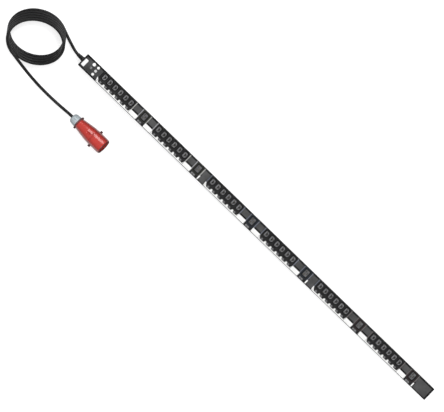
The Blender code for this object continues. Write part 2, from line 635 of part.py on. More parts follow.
def make_plug(looks):
    frame = bpy.data.objects.new("plug_axis", None)
    bpy.context.scene.collection.objects.link(frame)
    frame.location = PLUG_AT
    frame.rotation_euler = (0.0, -PLUG_PITCH, 0.0)
    pieces = []
    for name, profile_mm, look, sides in (("plug_cable_nut", NUT_PROFILE_MM, "grey", 20),
                                          ("plug_body", BODY_PROFILE_MM, "red", 24),
                                          ("plug_sleeve", SLEEVE_PROFILE_MM, "red", 24)):
        profile = [(along * MM, radius * MM) for along, radius in profile_mm]
        pieces.append(turned(name, profile, looks[look], sides, closed=True))
    for piece, span, reach, height in ((pieces[1], LUG_AT, LUG_REACH, LUG_HEIGHT),
                                       (pieces[2], EAR_AT, EAR_REACH, EAR_HEIGHT)):
        sides = []
        for near, far in ((-reach, LUG_DEPTH - reach), (reach - LUG_DEPTH, reach)):
            sides.append(dict(outline=rectangle((span[0], near), (span[1], far)), low=-height / 2,
                              high=height / 2))
        tool = several_prisms(piece.name + "_lugs", sides, looks["red"])
        tool.parent = frame
        use_tool(piece, tool, "UNION")
    places = []
    for number in range(5):
        angle = math.radians(-90 + 72 * number)
        radius = EARTH_PIN_RADIUS if number == 0 else PIN_RADIUS
        places.append(((PIN_CIRCLE * math.cos(angle), PIN_CIRCLE * math.sin(angle)), radius))
    holes = [circle(centre, radius + GAP, 10) for centre, radius in places]
    pieces.append(prism("plug_contact_carrier", circle((0.0, 0.0), CARRIER_RADIUS, 24), *CARRIER_SPAN,
                        looks["dark"], holes, "X"))
    for number, ((y, z), radius) in enumerate(places, 1):
        shape = [(PIN_SPAN[0], radius), (PIN_SPAN[1] - 2 * MM, radius), (PIN_SPAN[1], radius * 0.6)]
        pieces.append(turned(f"plug_pin_{number}", shape, looks["brass"], 10, at=(0.0, y, z)))
    for piece in pieces:
        piece.parent = frame


def main():
    clear_scene()
    looks = make_finishes()
    make_housing(looks)
    make_end_cap("head_end_cap", -1, looks, cord_hole=True)
    make_end_cap("far_end_cap", 1, looks, cord_hole=False)
    make_cap_screws("head_cap_screw", -1, looks)
    make_cap_screws("far_cap_screw", 1, looks)
    make_face(looks)
    make_head_fittings(looks)
    make_control_board(looks)
    make_power_path(looks)
    make_cord_exit(looks)
    make_cord_tube("cord_lead", LEAD_ROUTE_MM, looks)
    make_coil(looks)
    make_cord_tube("cord_tail", TAIL_ROUTE_MM, looks)
    make_plug(looks)


main()
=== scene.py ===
"""Looks of the rack power strip: finishes, fine surfaces, the cord at its real length, light and camera.

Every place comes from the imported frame, in metres: +X along the strip, +Z out of its outlet face.
"""

import math

import bmesh
import bpy
from mathutils import Matrix, Vector
from mathutils.geometry import tessellate_polygon


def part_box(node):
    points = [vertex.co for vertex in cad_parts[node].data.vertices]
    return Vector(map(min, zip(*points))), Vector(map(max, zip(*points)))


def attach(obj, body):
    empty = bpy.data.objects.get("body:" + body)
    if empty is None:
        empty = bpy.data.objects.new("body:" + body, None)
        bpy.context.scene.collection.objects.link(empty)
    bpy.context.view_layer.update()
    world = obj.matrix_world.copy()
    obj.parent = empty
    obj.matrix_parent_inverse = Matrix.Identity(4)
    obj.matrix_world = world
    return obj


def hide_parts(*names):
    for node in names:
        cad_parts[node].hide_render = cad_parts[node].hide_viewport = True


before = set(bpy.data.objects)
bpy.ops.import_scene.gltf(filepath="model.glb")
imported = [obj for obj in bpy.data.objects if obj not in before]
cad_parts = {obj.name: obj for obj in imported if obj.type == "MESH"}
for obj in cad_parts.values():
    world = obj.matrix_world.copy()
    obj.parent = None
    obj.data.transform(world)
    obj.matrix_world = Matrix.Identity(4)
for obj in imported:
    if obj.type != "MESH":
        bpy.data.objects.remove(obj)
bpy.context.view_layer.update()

MM = 0.001
STRIP = "strip"  # the body that everything but the keys rides on

# ---------------------------------------------------------------- camera, floor and light

VIEW_CENTRE = Vector((-146.8 * MM, -32.7 * MM, 49 * MM))
VIEW_TURN = math.radians(44.07)  # the strip runs down to the right at this angle
VIEW_WIDTH = 1.6661
LENS = 200.0
SENSOR = 36.0
SKY_LOW = 0.38  # brightness of the surroundings at the horizon
SKY_HIGH = 0.92  # and straight above
FLOOR_COLOUR = (0.70, 0.70, 0.704, 1.0)
FLOOR_GLOW = 0.60  # lifts the floor towards white
WHITE = (1.0, 1.0, 1.0, 1.0)


def add_object(name, data):
    made = bpy.data.objects.new(name, data)
    bpy.context.scene.collection.objects.link(made)
    return made


def set_inputs(node, values):
    for name, value in values.items():
        node.inputs[name].default_value = value


def make_camera():
    data = bpy.data.cameras.new("view")
    data.lens = LENS
    data.sensor_width = SENSOR
    data.clip_end = 60.0
    camera = add_object("view", data)
    camera.location = VIEW_CENTRE + Vector((0, 0, VIEW_WIDTH * LENS / SENSOR))
    camera.rotation_euler = (0.0, 0.0, VIEW_TURN)
    bpy.context.scene.camera = camera


def make_floor():
    shape = bmesh.new()
    bmesh.ops.create_grid(shape, x_segments=2, y_segments=2, size=6.0)
    mesh = bpy.data.meshes.new("floor")
    shape.to_mesh(mesh)
    shape.free()
    floor = add_object("floor", mesh)
    floor.location = (0, 0, -0.0004)
    look = bpy.data.materials.new("floor")
    look.use_nodes = True
    set_inputs(look.node_tree.nodes["Principled BSDF"], {
        "Base Color": FLOOR_COLOUR, "Roughness": 0.95, "Specular IOR Level": 0.1,
        "Emission Color": WHITE, "Emission Strength": FLOOR_GLOW})
    mesh.materials.append(look)


def add_light(name, location, side, power):
    """Square lamp that faces the middle of the strip."""
    data = bpy.data.lights.new(name, "AREA")
    data.shape = "SQUARE"
    data.size = side
    data.energy = power
    lamp = add_object(name, data)
    lamp.location = location
    lamp.rotation_euler = (-Vector(location)).to_track_quat("-Z", "Y").to_euler()


def make_light():
    world = bpy.data.worlds.new("studio")
    world.use_nodes = True
    nodes, links = world.node_tree.nodes, world.node_tree.links
    sky = nodes["Background"]
    sky.inputs["Color"].default_value = WHITE
    place = nodes.new("ShaderNodeTexCoord")
    parts = nodes.new("ShaderNodeSeparateXYZ")
    links.new(place.outputs["Generated"], parts.inputs["Vector"])
    level = spread(nodes, links, parts.outputs["Z"], SKY_LOW, SKY_HIGH)
    links.new(level.outputs["Result"], sky.inputs["Strength"])
    bpy.context.scene.world = world
    add_light("key_light", (-1.6, 2.2, 3.2), 2.0, 72)
    add_light("fill_light", (2.2, -1.6, 2.6), 2.0, 26)
    bpy.context.scene.view_settings.view_transform = "Standard"


# ---------------------------------------------------------------- materials

def new_material(name):
    made = bpy.data.materials.new(name)
    made.use_nodes = True
    return made, made.node_tree.nodes, made.node_tree.links, made.node_tree.nodes["Principled BSDF"]


def noise(nodes, links, scale, detail=3.0, roughness=0.55):
    place = nodes.new("ShaderNodeTexCoord")
    made = nodes.new("ShaderNodeTexNoise")
    set_inputs(made, {"Scale": scale, "Detail": detail, "Roughness": roughness})
    links.new(place.outputs["Object"], made.inputs["Vector"])
    return made


def ramp(nodes, links, source, low, high, start=0.35, end=0.65):
    """Colours from low to high as the source goes from start to end."""
    made = nodes.new("ShaderNodeValToRGB")
    made.color_ramp.elements[0].position = start
    made.color_ramp.elements[0].color = low
    made.color_ramp.elements[1].position = end
    made.color_ramp.elements[1].color = high
    links.new(source, made.inputs["Fac"])
    return made


def spread(nodes, links, source, low, high):
    made = nodes.new("ShaderNodeMapRange")
    set_inputs(made, {"To Min": low, "To Max": high})
    links.new(source, made.inputs["Value"])
    return made


def add_bump(nodes, links, shader, height, strength):
    bump = nodes.new("ShaderNodeBump")
    set_inputs(bump, {"Strength": strength, "Distance": 0.2 * MM})
    links.new(height, bump.inputs["Height"])
    links.new(bump.outputs["Normal"], shader.inputs["Normal"])


def scaled(colour, factor):
    return (*(min(1.0, part * factor) for part in colour), 1.0)


def moulded(name, colour, roughness=0.45, grain=1400.0, depth=0.12, mottle=0.1, coat=0.0, specular=0.5,
            painted_side_shade=1.0):
    """Moulded plastic: fine spark-erosion grain, slow colour mottling and uneven gloss. Where a side factor
    below 1 is given, its steep sides get painted shade: their colour is darker by that factor."""
    made, nodes, links, shader = new_material(name)
    slow = noise(nodes, links, 26.0, 4.0)
    tint = ramp(nodes, links, slow.outputs["Fac"], scaled(colour, 1 - mottle), scaled(colour, 1 + mottle))
    source = tint.outputs["Color"]
    # Painted shade: the colour darkens by the factor as the surface turns from facing up to facing sideways.
    if painted_side_shade < 1.0:
        facing = nodes.new("ShaderNodeTexCoord")
        parts = nodes.new("ShaderNodeSeparateXYZ")
        links.new(facing.outputs["Normal"], parts.inputs["Vector"])
        shade = ramp(nodes, links, parts.outputs["Z"], (painted_side_shade, painted_side_shade, painted_side_shade, 1.0), WHITE, 0.5, 0.92)
        mixed = nodes.new("ShaderNodeMix")
        mixed.data_type = "RGBA"
        mixed.blend_type = "MULTIPLY"
        mixed.inputs["Factor"].default_value = 1.0
        links.new(source, mixed.inputs["A"])
        links.new(shade.outputs["Color"], mixed.inputs["B"])
        source = mixed.outputs["Result"]
    links.new(source, shader.inputs["Base Color"])
    handled = noise(nodes, links, 60.0, 6.0, 0.65)
    gloss = spread(nodes, links, handled.outputs["Fac"], roughness - 0.09, roughness + 0.11)
    links.new(gloss.outputs["Result"], shader.inputs["Roughness"])
    fine = noise(nodes, links, grain, 2.0)
    add_bump(nodes, links, shader, fine.outputs["Fac"], depth)
    set_inputs(shader, {"Coat Weight": coat, "Specular IOR Level": specular})
    return made


def drawn_metal(name, colour, roughness=0.35, along=(6.0, 900.0, 900.0), depth=0.08, metallic=1.0,
                specular=0.5):
    """Extruded or drawn metal: fine lines along X, in the gloss and the surface."""
    made, nodes, links, shader = new_material(name)
    place = nodes.new("ShaderNodeTexCoord")
    stretch = nodes.new("ShaderNodeMapping")
    stretch.inputs["Scale"].default_value = along
    links.new(place.outputs["Object"], stretch.inputs["Vector"])
    lines = nodes.new("ShaderNodeTexNoise")
    set_inputs(lines, {"Scale": 1.0, "Detail": 4.0})
    links.new(stretch.outputs["Vector"], lines.inputs["Vector"])
    tint = ramp(nodes, links, lines.outputs["Fac"], scaled(colour, 0.86), scaled(colour, 1.14))
    links.new(tint.outputs["Color"], shader.inputs["Base Color"])
    gloss = spread(nodes, links, lines.outputs["Fac"], roughness - 0.08, roughness + 0.1)
    links.new(gloss.outputs["Result"], shader.inputs["Roughness"])
    add_bump(nodes, links, shader, lines.outputs["Fac"], depth)
    set_inputs(shader, {"Metallic": metallic, "Specular IOR Level": specular})
    return made


def board_material(name):
    """Green solder mask with copper pads and tracks under it."""
    made, nodes, links, shader = new_material(name)
    place = nodes.new("ShaderNodeTexCoord")
    pads = nodes.new("ShaderNodeTexVoronoi")
    pads.inputs["Scale"].default_value = 420.0
    links.new(place.outputs["Object"], pads.inputs["Vector"])
    copper, mask = (0.42, 0.3, 0.1, 1.0), (0.012, 0.09, 0.04, 1.0)
    tint = ramp(nodes, links, pads.outputs["Distance"], copper, mask, 0.16, 0.2)
    links.new(tint.outputs["Color"], shader.inputs["Base Color"])
    shader.inputs["Roughness"].default_value = 0.3
    return made


def tones(part, mottle, **colours):
    """One finish for each of the three phases."""
    return [moulded(f"{part}_{tone}", colour, 0.45, mottle=mottle, specular=0.2)
            for tone, colour in colours.items()]


def make_looks():
    return {
        "housing": drawn_metal("black_anodised", (0.008, 0.008, 0.0085), 0.45, metallic=0.0, specular=0.2),
        "end_cap": moulded("cap_black", (0.008, 0.008, 0.0085), 0.5, specular=0.2),
        "plate": moulded("plate_black", (0.006, 0.006, 0.0065), 0.5, specular=0.12),
        "pad": moulded("pad_dark_grey", (0.072, 0.072, 0.073), 0.7, 900.0, 0.3, 0.2, specular=0.12),
        "head_pad": moulded("head_pad_grey", (0.056, 0.056, 0.057), 0.7, 900.0, 0.3, 0.3, specular=0.12),
        "module": moulded("module_black", (0.018, 0.018, 0.0185), 0.42, 1600.0, 0.1, specular=0.12),
        "island": moulded("island_grey", (0.17, 0.17, 0.178), 0.42, 1600.0, 0.1, 0.12, specular=0.2),
        "large_face": moulded("large_face_grey", (0.115, 0.115, 0.12), 0.42, 1600.0, 0.1, 0.12, specular=0.2),
        "contact": drawn_metal("contact_brass", (0.42, 0.35, 0.22), 0.35),
        "label": moulded("label_white", (0.86, 0.86, 0.855), 0.42, 700.0, 0.05, 0.02),
        "tab_label": moulded("tab_label_grey", (0.14, 0.14, 0.145), 0.5, 700.0, 0.08, 0.12),
        "foot_label": moulded("foot_label_grey", (0.20, 0.20, 0.205), 0.5, 700.0, 0.08, 0.1),
        "window": moulded("window_white", (0.88, 0.88, 0.88), 0.18, 500.0, 0.02, 0.015, coat=0.6),
        "bezel": moulded("bezel_grey", (0.3, 0.3, 0.31), 0.4),
        "key": moulded("key_white", (0.87, 0.87, 0.865), 0.4, 1200.0, 0.06, 0.02),
        "grey_key": moulded("key_grey", (0.60, 0.60, 0.60), 0.4, 1200.0, 0.06, 0.02),
        "light_ring": moulded("light_ring_grey", (0.27, 0.27, 0.275), 0.4),
        "light": moulded("light_grey", (0.50, 0.51, 0.51), 0.2, 600.0, 0.03, 0.05, coat=0.5),
        "board": board_material("board_green"),
        "copper": drawn_metal("bar_copper", (0.72, 0.36, 0.2), 0.3),
        "inner": moulded("inner_plastic", (0.52, 0.5, 0.45), 0.55),
        "screw": drawn_metal("screw_zinc", (0.58, 0.58, 0.6), 0.32, (300.0, 300.0, 300.0)),
        "bush": moulded("bush_black", (0.016, 0.016, 0.017), 0.48),
        "cord": moulded("cord_black", (0.005, 0.005, 0.0054), 0.32, 700.0, 0.2, 0.2, specular=0.22),
        # The plug's red (last argument), its collar and its nut get painted shade on their steep sides.
        "red": moulded("plug_red", (0.50, 0.022, 0.012), 0.25, 1100.0, 0.02, 0.07, 0.4, 0.45, 0.32),
        "collar": moulded("plug_collar_red", (0.17, 0.04, 0.04), 0.4, 1100.0, 0.08, painted_side_shade=0.5),
        "dark_red": moulded("plug_dark_red", (0.05, 0.008, 0.007), 0.45, 1100.0, 0.08),
        "nut": moulded("nut_blue_grey", (0.44, 0.50, 0.53), 0.34, 1100.0, 0.08, 0.05, painted_side_shade=0.35),
        "insert": moulded("insert_dark", (0.03, 0.012, 0.012), 0.5),
        "pin": drawn_metal("pin_nickel", (0.74, 0.71, 0.66), 0.22, (900.0, 60.0, 60.0)),
        "strip_label": moulded("strip_label_white", (0.82, 0.82, 0.815), 0.45, 700.0, 0.05, 0.06),
        "near_rib": tones("near_rib", 0.06, cream=(0.37, 0.37, 0.355), blue=(0.155, 0.165, 0.20),
                          red=(0.135, 0.122, 0.122)),
        "far_rib": tones("far_rib", 0.06, grey=(0.30, 0.30, 0.315), blue=(0.13, 0.14, 0.17),
                         red=(0.12, 0.108, 0.108)),
        "frame": tones("frame", 0.08, olive=(0.055, 0.057, 0.042), navy=(0.030, 0.045, 0.068),
                       maroon=(0.062, 0.038, 0.038)),
    }


# ---------------------------------------------------------------- mesh building

class Shell:
    """Collects points and faces of one piece, and welds them into a mesh."""

    def __init__(self):
        self.points = []
        self.faces = []

    def add(self, points, faces):
        base = len(self.points)
        self.points.extend(tuple(point) for point in points)
        self.faces.extend(tuple(index + base for index in face) for face in faces)

    def skin(self, rings, closed=False):
        """Faces between successive rings of the same number of points."""
        size = len(rings[0])
        points = [point for ring in rings for point in ring]
        faces = []
        for row in range(len(rings) if closed else len(rings) - 1):
            low, high = row * size, (row + 1) % len(rings) * size
            for i in range(size):
                j = (i + 1) % size
                faces.append((low + i, low + j, high + j, high + i))
        self.add(points, faces)

    def fill(self, outline, height, holes=()):
        """Flat region at a height, with holes."""
        rings = [list(outline)] + [list(hole) for hole in holes]
        flat = [[Vector((x, y, 0.0)) for x, y in ring] for ring in rings]
        points = [(x, y, height) for ring in rings for x, y in ring]
        faces = tessellate_polygon(flat) if holes else [tuple(range(len(points)))]
        self.add(points, faces)

    def make(self, name, look, angle=32.0, matrix=None):
        shape = bmesh.new()
        verts = [shape.verts.new(point) for point in self.points]
        for face in self.faces:
            try:
                shape.faces.new([verts[index] for index in face])
            except ValueError:
                continue
        bmesh.ops.remove_doubles(shape, verts=shape.verts, dist=2e-6)
        bmesh.ops.dissolve_degenerate(shape, edges=shape.edges, dist=1e-6)
        bmesh.ops.recalc_face_normals(shape, faces=shape.faces)
        mesh = bpy.data.meshes.new(name)
        shape.to_mesh(mesh)
        shape.free()
        if matrix is not None:
            mesh.transform(matrix)
        mesh.materials.append(look)
        mesh.shade_smooth()
        mesh.set_sharp_from_angle(angle=math.radians(angle))
        return add_object(name, mesh)


def in_mm(*sizes):
    return tuple(size * MM for size in sizes)


def mm(points):
    return [(x * MM, y * MM) for x, y in points]


def raised(outline, height):
    return [(x, y, height) for x, y in outline]


def rounded(points, radius, steps=3):
    """The polygon, counter-clockwise, with each corner turned into an arc."""
    made = []
    count = len(points)
    for i in range(count):
        corner = Vector(points[i])
        back = (Vector(points[i - 1]) - corner).normalized()
        ahead = (Vector(points[(i + 1) % count]) - corner).normalized()
        half = back.angle(ahead) / 2
        away = radius / math.tan(half)
        start, end = corner + back * away, corner + ahead * away
        centre = corner + (back + ahead).normalized() * (radius / math.sin(half))
        first = math.atan2(start.y - centre.y, start.x - centre.x)
        sweep = math.atan2(end.y - centre.y, end.x - centre.x) - first
        sweep = (sweep + math.pi) % math.tau - math.pi
        for step in range(steps + 1):
            angle = first + sweep * step / steps
            made.append((centre.x + radius * math.cos(angle), centre.y + radius * math.sin(angle)))
    return made


def box_outline(x0, y0, x1, y1):
    return [(x0, y0), (x1, y0), (x1, y1), (x0, y1)]


def oblong(x0, y0, x1, y1, radius, steps=3):
    return rounded(box_outline(x0, y0, x1, y1), radius, steps)


def centred(centre, size, radius, steps=3):
    """Oblong about a centre."""
    x, y = centre
    half_x, half_y = size[0] / 2, size[1] / 2
    return oblong(x - half_x, y - half_y, x + half_x, y + half_y, radius, steps)


def circle(centre, radius, sides):
    angles = [math.tau * i / sides for i in range(sides)]
    return [(centre[0] + radius * math.cos(angle), centre[1] + radius * math.sin(angle)) for angle in angles]


def clipped(centre, size, radius):
    """Outlet outline: a rectangle with its two +X corners cut off, and small round corners."""
    half_x, half_y, cut = size[0] / 2, size[1] / 2, size[2]
    x, y = centre
    corners = [(x - half_x, y - half_y), (x + half_x - cut, y - half_y), (x + half_x, y - half_y + cut),
               (x + half_x, y + half_y - cut), (x + half_x - cut, y + half_y), (x - half_x, y + half_y)]
    return rounded(corners, radius)


def inset(outline, amount):
    """The outline, counter-clockwise, moved inwards by an amount, corner by corner."""
    made = []
    count = len(outline)
    for i in range(count):
        before, here, after = Vector(outline[i - 1]), Vector(outline[i]), Vector(outline[(i + 1) % count])
        one, two = (here - before).normalized(), (after - here).normalized()
        normal_one, normal_two = Vector((-one.y, one.x)), Vector((-two.y, two.x))
        middle = normal_one + normal_two
        middle = middle / max(0.2, middle.length_squared) * 2
        made.append((here.x + middle.x * amount, here.y + middle.y * amount))
    return made


def plate(shell, outline, low, high, edge, holes=()):
    """Closed plate with a small rounded top edge, also round its holes."""
    shell.fill(outline, low, holes)
    soft = inset(outline, edge)
    shell.skin([raised(outline, low), raised(outline, high - edge),
                raised(inset(outline, edge * 0.3), high - edge * 0.3), raised(soft, high)])
    wide = []
    for hole in holes:
        wide.append(inset(hole, -edge))
        shell.skin([raised(hole, low), raised(hole, high - edge),
                    raised(inset(hole, -edge * 0.3), high - edge * 0.3), raised(wide[-1], high)])
    shell.fill(soft, high, wide)


def lathe(profile, sides, axis="X", shape=None):
    """Rings of a turned shape. The profile is (distance along the axis, radius) points, and
    shape(along, angle, radius) gives the radius where the shape isn't round."""
    rings = []
    for along, radius in profile:
        ring = []
        for i in range(sides):
            angle = math.tau * i / sides
            reach = shape(along, angle, radius) if shape else radius
            a, b = reach * math.cos(angle), reach * math.sin(angle)
            ring.append((along, a, b) if axis == "X" else (a, b, along))
        rings.append(ring)
    return rings


def turned(shell, profile, sides, closed=False, axis="X", shape=None):
    rings = lathe(profile, sides, axis, shape)
    shell.skin(rings, closed)
    if not closed:
        shell.add(rings[0], [tuple(range(sides))])
        shell.add(rings[-1], [tuple(range(sides))])


def dome(start, height, radius, flat, steps, quarter):
    """Profile points of a round end, down to the flat radius where the steps fill the whole quarter turn."""
    angles = [math.pi / 2 * step / quarter for step in range(1, steps + 1)]
    return [(start + height * math.sin(angle), flat + (radius - flat) * math.cos(angle)) for angle in angles]


def curve_through(points, steps):
    """Points on a smooth curve through the given ones, from the second to the last but one."""
    made = []
    for a, b, c, d in zip(points, points[1:], points[2:], points[3:]):
        for step in range(steps):
            t = step / steps
            made.append(0.5 * (2 * b + (c - a) * t + (2 * a - 5 * b + 4 * c - d) * t * t
                               + (3 * b - a - 3 * c + d) * t ** 3))
    return made + [points[-2].copy()]


def smooth_profile(points, steps=5):
    """A turned profile with a smooth curve through its points."""
    ends = [Vector(point) for point in (points[0], *points, points[-1])]
    return [tuple(point) for point in curve_through(ends, steps)]


def place(piece, slot, *nodes, body=STRIP):
    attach(piece, body)
    if nodes:
        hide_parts(*nodes)
    return piece


def plate_piece(name, look, slot, outline, low, high, edge, holes=(), nodes=()):
    """A plate that is a piece of its own on the strip."""
    shell = Shell()
    plate(shell, outline, low, high, edge, holes)
    return place(shell.make(name, look), slot, *nodes)


def turned_piece(name, look, slot, profile, sides, *nodes, at=(0.0, 0.0, 0.0), frame_of=Matrix(), **how):
    """A turned shape that is a piece of its own. It has the axis of its frame, moved to a place in it."""
    shell = Shell()
    turned(shell, profile, sides, **how)
    return place(shell.make(name, look, matrix=frame_of @ Matrix.Translation(at)), slot, *nodes)


def dress(node, look):
    """Gives a CAD node a finish."""
    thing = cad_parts[node]
    if not thing.material_slots:
        thing.data.materials.append(look)
    for held in thing.material_slots:
        held.material = look


# ---------------------------------------------------------------- cord

CORD_DIAMETER = 12 * MM
LEAD_ROUTE_MM = ((-906, 0.0, 24.0), (-920, 0.0, 24.0), (-933.3, 0.0, 24.0), (-945, 1.4, 23.2),
                 (-958, 4.6, 20.2), (-971, 8.6, 15.4), (-984, 12.8, 10.4), (-997, 17.2, 7.2),
                 (-1010, 21.8, 6.4), (-1025, 27.6, 6.4), (-1040, 33.2, 6.4))
TAIL_ROUTE_MM = ((-1100, -168.4, 50.2), (-1079, -172.0, 47.9), (-1058.8, -175.2, 43.7),
                 (-1041.7, -177.9, 38.9), (-1020.9, -180.7, 31.7), (-1000.3, -183.1, 23.6),
                 (-980, -185.0, 16.0), (-958, -186.5, 9.6), (-934, -187.3, 6.8), (-905, -187.6, 6.4),
                 (-875, -187.2, 6.5), (-845, -186.0, 8.2), (-818, -184.3, 13.2), (-800, -183.2, 16.6),
                 (-785.3, -183.0, 18.46), (-770, -183.0, 20.34), (-755.2, -183.0, 22.16))
COIL_CENTRE = Vector((-1090.0 * MM, -62.9 * MM, 0.0))
COIL_HALF_LONG = 107.6 * MM
COIL_HALF_SHORT = 83.5 * MM
COIL_LONG_AXIS = math.radians(27.0)
COIL_DRIFT = Vector((-6.5 * MM, 7.1 * MM, 0.0))
COIL_TURNS = 4.5
COIL_START = math.radians(40.1)
TURN_SPACING = 12.2 * MM
CORD_REST = 6.4 * MM
POINTS_PER_TURN = 24
CLIMB_FROM, CLIMB_TO = 0.5, 0.9  # the part of each turn that rises onto the turn below


def coil_offset(angle):
    """From the centre of a turn to its centre line, and the outward direction there."""
    long_axis = Vector((math.cos(COIL_LONG_AXIS), math.sin(COIL_LONG_AXIS), 0.0))
    short_axis = Vector((-long_axis.y, long_axis.x, 0.0))
    offset = long_axis * COIL_HALF_LONG * math.cos(angle) + short_axis * COIL_HALF_SHORT * math.sin(angle)
    outward = (long_axis * math.cos(angle) / COIL_HALF_LONG
               + short_axis * math.sin(angle) / COIL_HALF_SHORT).normalized()
    return offset, outward


def coil_level(turn):
    """How many turns lie below the cord after this many turns."""
    whole = math.floor(turn)
    share = min(1.0, max(0.0, (turn - whole - CLIMB_FROM) / (CLIMB_TO - CLIMB_FROM)))
    return whole + share * share * (3 - 2 * share)


def coil_point(turn):
    offset, outward = coil_offset(COIL_START + math.tau * turn)
    rise = math.sqrt(TURN_SPACING ** 2 - COIL_DRIFT.dot(outward) ** 2)
    centre = COIL_CENTRE + COIL_DRIFT * (COIL_TURNS / 2 - turn)
    return centre + offset + Vector((0, 0, CORD_REST + rise * coil_level(turn)))


def smooth_route(points, spacing):
    """Evenly spaced points on a smooth curve through the given ones."""
    fine = curve_through([points[0] * 2 - points[1], *points, points[-1] * 2 - points[-2]], 12)
    travelled = [0.0]
    for before, after in zip(fine, fine[1:]):
        travelled.append(travelled[-1] + (after - before).length)
    count = max(2, round(travelled[-1] / spacing))
    spaced, at = [], 0
    for number in range(count + 1):
        wanted = travelled[-1] * number / count
        while at < len(fine) - 2 and travelled[at + 1] < wanted:
            at += 1
        share = (wanted - travelled[at]) / (travelled[at + 1] - travelled[at])
        spaced.append(fine[at].lerp(fine[at + 1], min(1.0, share)))
    return spaced


def make_cord(looks):
    route = [Vector(point) * MM for point in LEAD_ROUTE_MM]
    steps = round(COIL_TURNS * POINTS_PER_TURN)
    route += [coil_point(COIL_TURNS * step / steps) for step in range(steps + 1)]
    route += [Vector(point) * MM for point in TAIL_ROUTE_MM]
    points = smooth_route(route, 6 * MM)
    data = bpy.data.curves.new("mains_cord", "CURVE")
    data.dimensions = "3D"
    data.bevel_depth = CORD_DIAMETER / 2
    data.bevel_resolution = 6
    data.use_fill_caps = True
    spline = data.splines.new("POLY")
    spline.points.add(len(points) - 1)
    for held, point in zip(spline.points, points):
        held.co = (*point, 1.0)
    spline.use_smooth = True
    data.materials.append(looks["cord"])
    cord = add_object("mains_cord", data)
    place(cord, "cord", "cord_lead", "cord_coil", "cord_tail")


def make_boot(looks):
    """Tapered strain relief with rings of slots, and the bush that holds it."""
    low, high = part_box("cord_boot")
    axis = (0.0, (low.y + high.y) / 2, (low.z + high.z) / 2)
    wide, narrow, bore = 9.4 * MM, 7.4 * MM, CORD_DIAMETER / 2 + 0.1 * MM
    length = high.x - low.x
    step = length * 0.14
    profile = [(high.x, bore), (high.x, wide)]
    for number in range(6):
        start = high.x - length * 0.1 - step * number
        outer = wide + (narrow - wide) * (high.x - start) / length
        profile += [(start, outer), (start - step * 0.15, outer - 1.0 * MM),
                    (start - step * 0.4, outer - 1.0 * MM), (start - step * 0.55, outer - 0.15 * MM)]
    profile += [(low.x + 0.6 * MM, narrow), (low.x, narrow - 0.6 * MM), (low.x, bore)]
    boot = turned_piece("strain_relief", looks["cord"], "cord", profile, 40, "cord_boot", at=axis,
                        closed=True)

    low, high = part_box("cord_bush")
    face, shank = HEAD - 0.3 * MM, 8.4 * MM
    outer, inner = (high.z - low.z) / 2, bore + 0.4 * MM
    profile = [(low.x, inner), (low.x, outer - 1.2 * MM), (low.x + 0.5 * MM, outer - 0.4 * MM),
               (low.x + 1.0 * MM, outer), (face, outer), (face, shank), (high.x, shank), (high.x, inner)]
    bush = turned_piece("cord_gland", looks["bush"], "bush", profile, 48, "cord_bush", at=axis, closed=True)
    return [boot, bush]


# ---------------------------------------------------------------- strip

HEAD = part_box("head_end_cap")[0].x
PLATE_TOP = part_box("blank_panel_1")[1].z
DECK_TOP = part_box("c13_outlets_1")[1].z
MODULE_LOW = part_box("c13_outlets_1")[0].z
FLANGE_TOP = 46.9 * MM
LEDGE = 44.2 * MM  # where a module rests between the walls
HALF_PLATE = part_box("blank_panel_1")[1].y
PAD_TOP = PLATE_TOP + 0.7 * MM
LABEL_TOP = PLATE_TOP + 0.35 * MM
SUNK = 0.2 * MM  # how far a pad, a label or a rib reaches into its plate
THIN = 0.1 * MM  # and a print into its module
PRINT_EDGE = 0.06 * MM

# Across the strip, in mm
PAD_LOW, PAD_HIGH = -2.6, 21.0
LABEL_LOW, LABEL_HIGH = -25.9, -9.0
RIB_LOW, RIB_HIGH = -8.6, 25.0

# Along the strip, in mm
RIB_HALF = 1.7
NEAR_RIB = 1.7  # from a plate's head end to the middle of its rib
FAR_RIB = 1.8  # and from its far end
LABEL_END = 0.3  # from a plate's end to its label

# Outlets, as in the CAD
SOCKETS = 6
MODULE_MARGIN = 1.4 * MM
SOCKET_Y = 8.0 * MM
SOCKET_FLOOR = DECK_TOP - 16 * MM
SLOT_FLOOR = DECK_TOP - 12.3 * MM
BLOCK_TOP = DECK_TOP - 0.3 * MM
C13_DECK = in_mm(-13.5, 25.6)
C13_BODY = in_mm(-12, 24.2)
C13_TAB_TOP = 10.2 * MM  # half the width where a tab leaves the deck
C13_TAB_TIP = 8.2 * MM  # and at its end
C13_TAB_SHIFT = 3.3 * MM
C13_TAB_Y = -21.2 * MM
C13_FIRST_TAB = in_mm(1.8, 6.8)  # from the module's end, where the tab leaves the deck and at its end
C13_RECESS = in_mm(20.6, 28.2, 5.2)
C13_ISLAND = in_mm(15.8, 23.6, 4.0)
C13_FACE = in_mm(14.6, 20.4, 4.0)
C13_HOLLOW = in_mm(8.0, 9.6)  # dark middle of the face, round its third slot
C13_HOLLOW_SHIFT = 1.2 * MM
C13_SLOT = in_mm(4.8, 2.6)
C13_CONTACTS = mm(((-2.0, -7.0), (-2.0, 7.0), (2.6, 0.0)))
C19_BODY = in_mm(-16, 24.2)
C19_RECESS = in_mm(25.4, 33.4)
C19_ISLAND = in_mm(20.2, 28.2)
C19_SLOT = in_mm(2.8, 8.4)
C19_CONTACTS = mm(((-4.0, -6.5), (-4.0, 6.5), (4.0, 0.0)))
C19_Y = 5.5 * MM
C19_DECK_LOW = -25.8 * MM
C19_FOOT_TOP = -17.5 * MM
C19_FOOT_FLARE = 2.2 * MM
C19_FRAME_Y = 5.1 * MM  # middle of the coloured frame on its deck
C19_FRAME = in_mm(30.8, 37.0)
C19_FRAME_LINE = 1.2 * MM


def span(node):
    low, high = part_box(node)
    return low.x, high.x


